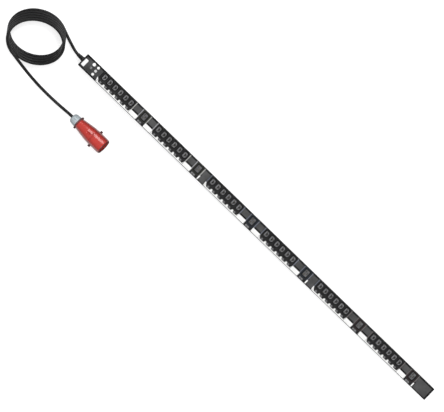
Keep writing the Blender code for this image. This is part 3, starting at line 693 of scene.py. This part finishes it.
def middle_of(node):
    low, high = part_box(node)
    return (low.x + high.x) / 2, (low.y + high.y) / 2


def from_ends(ends, points):
    """Points in mm: along a plate from its head end, or from its far end where negative, and across it."""
    return [((ends[0] if x >= 0 else ends[1]) + x * MM, y * MM) for x, y in points]


def socket_walls(shell, recess):
    """The recess of an outlet: its softened rim, its walls and its floor round the island."""
    mouth = inset(recess, -0.5 * MM)
    shell.skin([raised(mouth, DECK_TOP), raised(inset(recess, -0.15 * MM), DECK_TOP - 0.15 * MM),
                raised(recess, DECK_TOP - 0.5 * MM), raised(recess, SOCKET_FLOOR)])
    shell.fill(recess, SOCKET_FLOOR)
    return mouth


def add_island(shell, outline, slots):
    """The block that stands in the recess, with a slot for each contact."""
    foot = SOCKET_FLOOR + 0.05 * MM
    shell.skin([raised(outline, foot), raised(outline, BLOCK_TOP - 0.6 * MM),
                raised(inset(outline, 0.2 * MM), BLOCK_TOP - 0.2 * MM),
                raised(inset(outline, 0.6 * MM), BLOCK_TOP)])
    shell.fill(outline, foot)
    mouths = []
    for slot in slots:
        mouths.append(inset(slot, -0.35 * MM))
        shell.skin([raised(mouths[-1], BLOCK_TOP), raised(slot, BLOCK_TOP - 0.4 * MM),
                    raised(slot, SLOT_FLOOR)])
        shell.fill(slot, SLOT_FLOOR)
    shell.fill(inset(outline, 0.6 * MM), BLOCK_TOP, mouths)


def add_face(shell, outline, holes):
    """Lighter face on the block, inside its dark edge."""
    plate(shell, outline, BLOCK_TOP - THIN, BLOCK_TOP + 0.15 * MM, PRINT_EDGE, holes)


def add_contact(shell, centre, slot):
    """Two sprung leaves that hold a pin between them."""
    top = DECK_TOP - 5.6 * MM
    long_x = slot[0] > slot[1]
    reach, gap = max(slot) / 2 - 0.25 * MM, min(slot) / 2
    for side in (-1, 1):
        near, far = side * (gap - 0.95 * MM), side * (gap - 0.55 * MM)
        low, high = min(near, far), max(near, far)
        if long_x:
            leaf = box_outline(centre[0] - reach, centre[1] + low, centre[0] + reach, centre[1] + high)
        else:
            leaf = box_outline(centre[0] + low, centre[1] - reach, centre[0] + high, centre[1] + reach)
            shell.fill(leaf, top - 5 * MM)
        tip = inset(leaf, 0.1 * MM)
        shell.skin([raised(leaf, top - 5 * MM), raised(leaf, top - 0.3 * MM), raised(tip, top)])
        shell.fill(tip, top)


def slot_outlines(centre, slot, contacts):
    return [centred((centre[0] + x, centre[1] + y), slot, 0.3 * MM, 1) for x, y in contacts]


def module_body(shell, deck, ends, body, mouths):
    """Outlet module from its body between the walls up to its deck, whose outline may have tabs."""
    low_x, high_x = ends

    def clamp(low_y, high_y):
        return [(min(high_x, max(low_x, x)), low_y if y < 0 else high_y) for x, y in deck]

    under, flange = clamp(*body), clamp(-HALF_PLATE, HALF_PLATE)
    top = inset(deck, 0.5 * MM)
    shell.fill(box_outline(low_x, body[0], high_x, body[1]), MODULE_LOW)
    shell.skin([raised(under, MODULE_LOW), raised(under, LEDGE), raised(flange, LEDGE),
                raised(flange, FLANGE_TOP), raised(deck, FLANGE_TOP), raised(deck, DECK_TOP - 0.5 * MM),
                raised(inset(deck, 0.15 * MM), DECK_TOP - 0.15 * MM), raised(top, DECK_TOP)])
    shell.fill(top, DECK_TOP, mouths)


def tab_corners(low_x, high_x, centres, grow=0.0):
    """Corners of the tabs below a six-way module's deck, from its head end on. The first tab is wider."""
    made = []
    for number, x in enumerate(centres):
        middle = x + C13_TAB_SHIFT
        left, tip = middle - C13_TAB_TOP, middle - C13_TAB_TIP
        if number == 0:
            left, tip = low_x + C13_FIRST_TAB[0], low_x + C13_FIRST_TAB[1]
        right = min(high_x - 0.8 * MM, middle + C13_TAB_TOP)
        made.append((left - grow, tip - grow, middle + C13_TAB_TIP + grow, right + grow))
    return made


def tabbed_deck(low_x, high_x, centres):
    """Deck outline of a six-way module, with one tab below each outlet."""
    top = C13_DECK[0]
    outline = [(low_x, top)]
    for left, tip, end, right in tab_corners(low_x, high_x, centres):
        outline += [(left, top), (tip, C13_TAB_Y), (end, C13_TAB_Y), (right, top)]
    return outline + [(high_x, top), (high_x, C13_DECK[1]), (low_x, C13_DECK[1])]


def make_label_strip(number, low_x, high_x, centres, look):
    """White strip below a six-way module, round its tabs."""
    low_y, high_y = LABEL_LOW * MM, C13_DECK[0] - 0.2 * MM
    gap = LABEL_END * MM
    near, far = low_x + gap, high_x - gap
    outline = [(near, low_y), (far, low_y), (far, high_y)]
    for left, tip, end, right in reversed(tab_corners(low_x, high_x, centres, gap)):
        outline += [(min(right, far - 0.01 * MM), high_y), (end, C13_TAB_Y - gap), (tip, C13_TAB_Y - gap),
                    (left, high_y)]
    outline.append((near, high_y))
    plate_piece(f"label_strip_{number}", look, "window", outline, FLANGE_TOP - SUNK, LABEL_TOP, 0.12 * MM)


def make_c13(number, looks):
    node = f"c13_outlets_{number}"
    low_x, high_x = span(node)
    pitch = (high_x - low_x - 2 * MODULE_MARGIN) / SOCKETS
    centres = [low_x + MODULE_MARGIN + pitch * (i + 0.5) for i in range(SOCKETS)]
    body, islands, faces, contacts, labels, marks = [Shell() for part in range(6)]
    mouths = []
    for x in centres:
        centre = (x, SOCKET_Y)
        mouths.append(socket_walls(body, clipped(centre, C13_RECESS, 1.6 * MM)))
        slots = slot_outlines(centre, C13_SLOT, C13_CONTACTS)
        add_island(islands, clipped(centre, C13_ISLAND, 1.2 * MM), slots)
        hollow = centred((x + C13_HOLLOW_SHIFT, SOCKET_Y), C13_HOLLOW, 2.0 * MM)
        holes = [inset(slot, -0.2 * MM) for slot in slots[:2]] + [hollow]
        add_face(faces, clipped(centre, C13_FACE, 2.4 * MM), holes)
        for dx, dy in C13_CONTACTS:
            add_contact(contacts, (x + dx, SOCKET_Y + dy), C13_SLOT)
        tab = x + C13_TAB_SHIFT
        label = centred((tab - 3.7 * MM, -16.9 * MM), in_mm(7.8, 6.6), 0.5 * MM, 2)
        plate(labels, label, DECK_TOP - THIN, DECK_TOP + 0.12 * MM, 0.05 * MM)
        mark = centred((tab + 4.2 * MM, -17.3 * MM), in_mm(5.6, 5.4), 0.8 * MM, 2)
        plate(marks, mark, DECK_TOP - THIN, DECK_TOP + 0.35 * MM, 0.2 * MM)
    module_body(body, tabbed_deck(low_x, high_x, centres), (low_x, high_x), C13_BODY, mouths)
    place(body.make(f"six_way_module_{number}", looks["module"]), "outlet", node)
    place(islands.make(f"outlet_blocks_{number}", looks["module"]), "outlet")
    place(faces.make(f"outlet_faces_{number}", looks["island"]), "outlet")
    place(contacts.make(f"outlet_contacts_{number}", looks["contact"]), "busbar")
    place(labels.make(f"tab_labels_{number}", looks["tab_label"]), "outlet")
    place(marks.make(f"tab_marks_{number}", looks["module"]), "outlet")
    make_label_strip(number, low_x, high_x, centres, looks["strip_label"])


def make_c19(number, looks):
    node = f"c19_outlet_{number}"
    low_x, high_x = span(node)
    middle, outer = (low_x + high_x) / 2, (high_x - low_x) / 2
    inner = outer - C19_FOOT_FLARE
    ends = (middle - inner - 1 * MM, middle + inner + 1 * MM)
    centre = (middle, C19_Y)
    body, island, face, contacts = [Shell() for part in range(4)]
    mouth = socket_walls(body, centred(centre, C19_RECESS, 2.0 * MM))
    deck = box_outline(ends[0], C19_DECK_LOW, ends[1], C13_DECK[1])
    module_body(body, deck, ends, C19_BODY, [mouth])
    place(body.make(f"large_module_{number}", looks["module"]), "outlet", node)
    block = centred(centre, C19_ISLAND, 1.5 * MM)
    slots = slot_outlines(centre, C19_SLOT, C19_CONTACTS)
    add_island(island, block, slots)
    place(island.make(f"large_outlet_block_{number}", looks["module"]), "outlet")
    add_face(face, inset(block, 1.4 * MM), [inset(slot, -0.45 * MM) for slot in slots])
    place(face.make(f"large_outlet_face_{number}", looks["large_face"]), "outlet")
    for dx, dy in C19_CONTACTS:
        add_contact(contacts, (middle + dx, C19_Y + dy), C19_SLOT)
    place(contacts.make(f"large_outlet_contacts_{number}", looks["contact"]), "busbar")
    outline = [(middle - outer, C19_DECK_LOW), (middle + outer, C19_DECK_LOW), (middle + inner, C19_FOOT_TOP),
               (middle - inner, C19_FOOT_TOP)]
    plate_piece(f"large_module_foot_{number}", looks["module"], "outlet", rounded(outline, 0.8 * MM, 2),
                PLATE_TOP + 0.3 * MM, DECK_TOP + 0.25 * MM, 0.3 * MM)
    label = centred((middle - 2.3 * MM, -21.7 * MM), in_mm(17.4, 6.6), 0.7 * MM, 2)
    hole = centred((middle - 2.6 * MM, -21.8 * MM), in_mm(4.0, 3.2), 0.8 * MM, 2)
    plate_piece(f"large_module_label_{number}", looks["foot_label"], "outlet", label, DECK_TOP,
                DECK_TOP + 0.4 * MM, 0.08 * MM, [hole])
    outside = centred((middle, C19_FRAME_Y), C19_FRAME, 2.4 * MM)
    inside = centred((middle, C19_FRAME_Y), [side - 2 * C19_FRAME_LINE for side in C19_FRAME], 1.6 * MM)
    plate_piece(f"phase_frame_{number}", looks["frame"][(number - 1) // 2], "outlet", outside,
                DECK_TOP - THIN, DECK_TOP + 0.15 * MM, PRINT_EDGE, [inside])


def face_pad(name, outline, look, holes=()):
    plate_piece(name, look, "panel", outline, PLATE_TOP - SUNK, PAD_TOP, 0.35 * MM, holes)


def white_field(name, outline, looks):
    plate_piece(name, looks["label"], "window", outline, PLATE_TOP - SUNK, LABEL_TOP, 0.1 * MM)


def add_rib(name, ends, middle, look):
    """Thin raised rib across the upper part of the face, where two modules meet."""
    outline = from_ends(ends, box_outline(middle - RIB_HALF, RIB_LOW, middle + RIB_HALF, RIB_HIGH))
    plate_piece(name, look, "panel", rounded(outline, 0.4 * MM, 2), PLATE_TOP - SUNK, PAD_TOP + SUNK,
                0.15 * MM)


def make_blanks(looks):
    for number in range(1, 10):
        node = f"blank_panel_{number}"
        ends = span(node)
        phase = (number - 1) // 3
        pad = from_ends(ends, box_outline(NEAR_RIB + 2.4, PAD_LOW, -FAR_RIB - 2.2, PAD_HIGH))
        label = from_ends(ends, box_outline(LABEL_END, LABEL_LOW, -LABEL_END, LABEL_HIGH))
        face_pad(f"blank_pad_{number}", rounded(pad, 0.8 * MM), looks["pad"])
        white_field(f"blank_label_{number}", rounded(label, 0.5 * MM, 2), looks)
        add_rib(f"near_rib_{number}", ends, NEAR_RIB, looks["near_rib"][phase])
        add_rib(f"far_rib_{number}", ends, -FAR_RIB, looks["far_rib"][phase])
        dress(node, looks["plate"])


def make_dividers(looks):
    """Between phases the plate is dark across its full width, with white fields beside its flared part."""
    pad = ((5.6, -24.4), (34.4, -24.4), (32.4, -11.5), (32.4, PAD_LOW), (-6.2, PAD_LOW), (-6.2, PAD_HIGH),
           (3.4, PAD_HIGH), (3.4, PAD_LOW), (7.4, PAD_LOW), (7.4, -11.5))
    near_label = ((LABEL_END, LABEL_LOW), (4.4, LABEL_LOW), (6.4, LABEL_HIGH), (LABEL_END, LABEL_HIGH))
    far_label = ((35.8, LABEL_LOW), (-LABEL_END, LABEL_LOW), (-LABEL_END, LABEL_HIGH), (33.6, LABEL_HIGH))
    for number in (1, 2):
        node = f"phase_divider_{number}"
        ends = span(node)
        face_pad(f"divider_pad_{number}", from_ends(ends, pad), looks["pad"])
        white_field(f"divider_label_near_{number}", from_ends(ends, near_label), looks)
        white_field(f"divider_label_far_{number}", from_ends(ends, far_label), looks)
        add_rib(f"divider_near_rib_{number}", ends, NEAR_RIB, looks["near_rib"][number - 1])
        add_rib(f"divider_far_rib_{number}", ends, -FAR_RIB - 1.6, looks["far_rib"][1])
        dress(node, looks["plate"])


def make_end_panel(looks):
    ends = span("end_panel")
    pad = ((8.2, -23.4), (-3.4, -23.4), (-3.4, PAD_HIGH), (3.4, PAD_HIGH), (3.4, PAD_LOW), (8.2, PAD_LOW))
    face_pad("end_pad", from_ends(ends, pad), looks["pad"])
    white_field("end_label", from_ends(ends, box_outline(LABEL_END, LABEL_LOW, 5.4, LABEL_HIGH)), looks)
    add_rib("end_rib", ends, NEAR_RIB, looks["near_rib"][2])
    dress("end_panel", looks["plate"])


def make_head(looks):
    ends = span("head_panel")
    low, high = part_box("display_window")
    light = middle_of("status_light")

    def window(grow, radius):
        return oblong(low.x - grow, low.y - grow, high.x + grow, high.y + grow, radius, 4)

    holes = [window(0.6 * MM, 3.2 * MM)]
    for number in range(1, 5):
        holes.append(make_key(number, looks))
    holes.append(circle(light, 2.5 * MM, 24))
    make_status_light(light, looks)
    plate_piece("light_surround", looks["light_ring"], "panel", circle(light, 4.4 * MM, 40), PAD_TOP - THIN,
                PAD_TOP + 0.25 * MM, 0.15 * MM, [circle(light, 2.6 * MM, 40)])
    pad = ((2.4, -22.8), (-4.2, -22.8), (-9.0, -10.4), (-9.0, -7.0), (-3.0, -7.0), (-3.0, PAD_HIGH),
           (2.4, PAD_HIGH))
    face_pad("head_pad", from_ends(ends, pad), looks["head_pad"], holes)
    label = ((-1.4, LABEL_LOW), (-LABEL_END, LABEL_LOW), (-LABEL_END, -12.5), (-4.6, -8.8), (-7.6, -8.8))
    white_field("head_label", from_ends(ends, label), looks)
    plate_piece("window_bezel", looks["bezel"], "panel", window(0.25 * MM, 3.2 * MM), PLATE_TOP - SUNK,
                PAD_TOP + 0.15 * MM, 0.2 * MM, [window(-0.7 * MM, 2.4 * MM)])
    plate_piece("window_lens", looks["window"], "window", window(0.0, 3.0 * MM), low.z, PAD_TOP - THIN,
                0.3 * MM, nodes=["display_window"])
    dress("head_panel", looks["plate"])


def make_key(number, looks):
    """Round key with a soft edge and a shallow dish for the fingertip. Returns the hole that it stands in."""
    node = f"key_{number}"
    low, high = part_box(node)
    centre = middle_of(node)
    flange, flange_top, soft = (high.x - low.x) / 2, low.z + 1.0 * MM, 0.9 * MM
    radius = flange - 1.6 * MM
    profile = [(low.z, flange), (flange_top, flange), (flange_top, radius), (high.z - soft, radius)]
    profile += dome(high.z - soft, soft, radius, radius - soft, 5, 5)
    dish = radius - 1.1 * MM
    for share, drop in ((0.9, 0.03), (0.7, 0.16), (0.45, 0.26), (0.2, 0.31), (0.04, 0.32)):
        profile.append((high.z - drop * MM, dish * share))
    shell = Shell()
    turned(shell, profile, 48, axis="Z")
    look = looks["grey_key" if number == 3 else "key"]
    key = shell.make(f"key_cap_{number}", look, matrix=Matrix.Translation((*centre, 0.0)))
    place(key, "key", node, body=node)
    return circle(centre, radius + 0.7 * MM, 40)


def make_status_light(centre, looks):
    low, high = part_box("status_light")
    radius, shoulder = 1.7 * MM, high.z - 0.9 * MM
    profile = [(low.z, radius), (shoulder, radius)] + dome(shoulder, 1.2 * MM, radius, 0.0, 6, 6.2)
    turned_piece("light_lens", looks["light"], "status_light", profile, 28, "status_light",
                 at=(*centre, 0.0), axis="Z")


def cut_away(piece, tool):
    """Takes the tool's shape out of the piece and removes the tool."""
    bite = piece.modifiers.new("cut", "BOOLEAN")
    bite.operation = "DIFFERENCE"
    bite.object = tool
    bpy.context.view_layer.update()
    done = piece.evaluated_get(bpy.context.evaluated_depsgraph_get())
    cut = bpy.data.meshes.new_from_object(done)
    piece.modifiers.clear()
    piece.data = cut
    bpy.data.objects.remove(tool, do_unlink=True)


def make_screws(looks):
    """Pan heads with a cross recess, in place of the plain ones."""
    long, short = 1.25, 0.28
    cross = mm(((-short, -long), (short, -long), (short, -short), (long, -short), (long, short),
                (short, short), (short, long), (-short, long), (-short, short), (-long, short),
                (-long, -short), (-short, -short)))
    turn = Matrix.Rotation(math.radians(90), 4, "Y")
    for side, out in (("head", -1), ("far", 1)):
        for number in (1, 2):
            node = f"{side}_cap_screw_{number}"
            low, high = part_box(node)
            tail, tip = (low.x, high.x) if out > 0 else (high.x, low.x)
            seat = tip - out * 1.7 * MM
            shank = [(tail, 0.9 * MM), (tail + out * 0.5 * MM, 1.2 * MM), (seat, 1.2 * MM)]
            head = [(seat + out * along, radius) for along, radius in mm(
                ((0.0, 2.75), (0.5, 2.8), (1.0, 2.55), (1.4, 2.0), (1.6, 1.3), (1.7, 0.8)))]
            shell = Shell()
            turned(shell, shank + head, 28)
            at = Vector((0.0, (low.y + high.y) / 2, (low.z + high.z) / 2))
            screw = shell.make(f"{side}_screw_{number}", looks["screw"], matrix=Matrix.Translation(at))
            recess = Shell()
            recess.fill(cross, -1.0 * MM)
            recess.skin([raised(cross, -1.0 * MM), raised(cross, 0.5 * MM)])
            recess.fill(cross, 0.5 * MM)
            cut_away(screw, recess.make(f"cross_{side}_{number}", looks["screw"],
                                        matrix=Matrix.Translation((tip, at.y, at.z)) @ turn))
            place(screw, "screw", node)


def dress_frame(looks):
    dress("housing_profile", looks["housing"])
    for node in ("head_end_cap", "far_end_cap"):
        dress(node, looks["end_cap"])
    dress("control_board", looks["board"])
    for node in ("terminal_block", "busbar_carrier"):
        dress(node, looks["inner"])
    for bar in ("line_1", "line_2", "line_3", "neutral", "earth"):
        dress(f"busbar_{bar}", looks["copper"])


# ---------------------------------------------------------------- plug

PLUG_AT = Vector((-785 * MM, -183 * MM, 18.5 * MM))
PLUG_PITCH = math.radians(7.0)
PLUG_FRAME = Matrix.Translation(PLUG_AT) @ Matrix.Rotation(-PLUG_PITCH, 4, "Y")
PIN_CIRCLE = 16 * MM
PIN_TIP = 160 * MM
PIN_END = 2.2 * MM  # length of a pin's round end
THUMB_LEVEL = 28.6 * MM  # from the plug's axis to the flat of its thumb rest
THUMB_TURN = -15.0  # the flat's tilt from straight up, in degrees


def bump_curve(value, low, high, soft):
    """1 between low and high, falling to 0 over soft on each side."""
    rise = min(1.0, max(0.0, (value - low) / soft + 0.5))
    fall = min(1.0, max(0.0, (high - value) / soft + 0.5))
    share = min(rise, fall)
    return share * share * (3 - 2 * share)


def plug_ring(name, look, slot, profile, sides, *nodes, shape=None):
    """Hollow turned piece on the plug's axis. Its profile is in mm."""
    return turned_piece(name, look, slot, mm(profile), sides, *nodes, frame_of=PLUG_FRAME, closed=True,
                        shape=shape)


def lug_pair(name, look, ends, middle, half_width, half_height, corner, soft):
    """A block with soft edges on each side of the plug. All sizes are in mm."""
    shell = Shell()
    low, high = -half_height * MM, half_height * MM
    for side in (-1, 1):
        y = side * middle
        outline = mm(oblong(ends[0], y - half_width, ends[1], y + half_width, corner))
        small = inset(outline, soft * MM)
        shell.fill(small, low)
        shell.skin([raised(small, low), raised(outline, low + soft * MM), raised(outline, high - soft * MM),
                    raised(small, high)])
        shell.fill(small, high)
    return place(shell.make(name, look, matrix=PLUG_FRAME), "plug_red")


def make_plug_nut(looks):
    outer = smooth_profile([(0, 9.4), (1.2, 12.6), (3.4, 16.2), (7, 18.9), (12, 20.2), (20, 21.0),
                            (27.5, 21.5)])
    profile = [(0, 6.6)] + outer + [(29.0, 21.6), (29.7, 21.0), (29.7, 6.6)]

    def fluted(along, angle, radius):
        depth = bump_curve(along, *in_mm(9, 26, 5))
        return radius - 1.3 * MM * depth * max(0.0, math.cos(angle * 12)) ** 4

    return plug_ring("cable_nut", looks["nut"], "plug_nut", profile, 144, "plug_cable_nut", shape=fluted)


def handle_surface(along, angle, radius):
    """The handle with a thumb rest, which is a flat and a hollow side by side, and with finger ridges."""
    turn = math.degrees(math.atan2(math.sin(angle - math.pi / 2), math.cos(angle - math.pi / 2)))
    flat = THUMB_LEVEL / math.cos(math.radians(turn - THUMB_TURN))
    rest = bump_curve(turn, THUMB_TURN - 9, THUMB_TURN + 9, 3.0) * bump_curve(along, *in_mm(84, 108, 2))
    reach = radius + (min(radius, flat) - radius) * rest
    hollow = bump_curve(along, *in_mm(85, 99, 5)) * bump_curve(turn, -2.0, 9.0, 5.0)
    side = bump_curve(abs(turn), 62.0, 118.0, 12.0) * bump_curve(along, *in_mm(44, 100, 8))
    ridge = 0.5 + 0.5 * math.cos(math.tau * along / (6.5 * MM))
    return reach + (0.7 * side * ridge - 2.2 * hollow) * MM


def fine_rows(profile, spacing):
    """The profile with more points, at most about the spacing apart along the axis."""
    rows = []
    for (a, ra), (b, rb) in zip(profile, profile[1:]):
        pieces = max(1, round(abs(b - a) / spacing))
        rows += [(a + (b - a) * i / pieces, ra + (rb - ra) * i / pieces) for i in range(pieces)]
    return rows + [profile[-1]]


def make_plug_body(looks):
    outer = smooth_profile([(36.4, 20.6), (38, 22.2), (46, 23.4), (56, 25.0), (68, 26.9), (82, 28.8),
                            (96, 30.6), (105, 31.3)], 8)
    outside = fine_rows(mm([(36, 17)] + outer + [(110.4, 31.4), (111, 30.9)]), 1.3 * MM)
    inside = fine_rows(mm([(111, 28), (96, 28), (80, 24.5), (50, 20.5)]), 1.3 * MM)
    shell = Shell()
    shell.skin(lathe(outside, 160, shape=handle_surface) + lathe(inside, 160), closed=True)
    handle = place(shell.make("plug_handle", looks["red"], matrix=PLUG_FRAME), "plug_red", "plug_body")
    collar = plug_ring("clamp_collar", looks["collar"], "plug_red", [
        (30, 8), (30, 19.4), (30.6, 20.6), (33, 21.6), (35.4, 21.6), (36, 21.0), (36, 8)], 96)
    lugs = lug_pair("clamp_lugs", looks["dark_red"], (30.5, 37.5), 23.6, 3.2, 6.0, 1.2, 0.6)
    return [handle, collar, lugs]


def make_plug_sleeve(looks):
    sleeve = plug_ring("front_sleeve", looks["red"], "plug_red", [
        (111.3, 28.2), (111.3, 31.4), (111.9, 32.0), (114, 32.0), (114.4, 31.6), (115.6, 31.6), (116, 32.0),
        (150, 32.0), (158, 31.9), (162.5, 31.4), (164.6, 30.8), (165, 30.4), (165, 27.9)], 96, "plug_sleeve")
    # The lip is the sleeve's real rounded rim; its dark red colour is painted shade round the mouth.
    shaded_lip = plug_ring("sleeve_lip_painted_shade", looks["dark_red"], "plug_red", [
        (165.2, 27.9), (165.2, 30.4), (166.4, 30.0), (167.6, 29.2), (168, 28.6), (167.6, 28.1)], 96)
    ears = lug_pair("sleeve_ears", looks["dark_red"], (117, 126), 34.6, 4.0, 4.5, 1.4, 0.7)
    return [sleeve, shaded_lip, ears]


def make_plug_inside(looks):
    """The insert with its five pins, earth at the bottom and thicker than the rest."""
    places = []
    for number in range(5):
        angle = math.radians(-90 + 72 * number)
        radius = 3.0 * MM if number == 0 else 2.5 * MM
        places.append((PIN_CIRCLE * math.cos(angle), PIN_CIRCLE * math.sin(angle), radius))
    holes = [circle((y, z), radius + 0.3 * MM, 24) for y, z, radius in places]
    shell = Shell()
    plate(shell, circle((0.0, 0.0), 27.3 * MM, 72), 99 * MM, 126 * MM, 0.8 * MM, holes)
    swap = Matrix(((0, 0, 1, 0), (1, 0, 0, 0), (0, 1, 0, 0), (0, 0, 0, 1)))
    insert = shell.make("pin_insert", looks["insert"], matrix=PLUG_FRAME @ swap)
    pieces = [place(insert, "plug_insert", "plug_contact_carrier")]
    for number, (y, z, radius) in enumerate(places, 1):
        shoulder = PIN_TIP - PIN_END
        profile = [(104 * MM, radius), (shoulder, radius)]
        profile += dome(shoulder, PIN_END, radius, radius * 0.35, 5, 5.4)
        pieces.append(turned_piece(f"pin_{number}", looks["pin"], "plug_pin", profile, 28,
                                   f"plug_pin_{number}", at=(0.0, y, z), frame_of=PLUG_FRAME))
    return pieces


def main():
    make_camera()
    looks = make_looks()
    on_cord = make_boot(looks)
    on_cord.append(make_plug_nut(looks))
    on_cord += make_plug_body(looks)
    on_cord += make_plug_sleeve(looks)
    on_cord += make_plug_inside(looks)
    make_cord(looks)
    make_floor()
    make_light()
    dress_frame(looks)
    make_head(looks)
    for number in range(1, 7):
        make_c13(number, looks)
        make_c19(number, looks)
    make_blanks(looks)
    make_dividers(looks)
    make_end_panel(looks)
    make_screws(looks)


main()
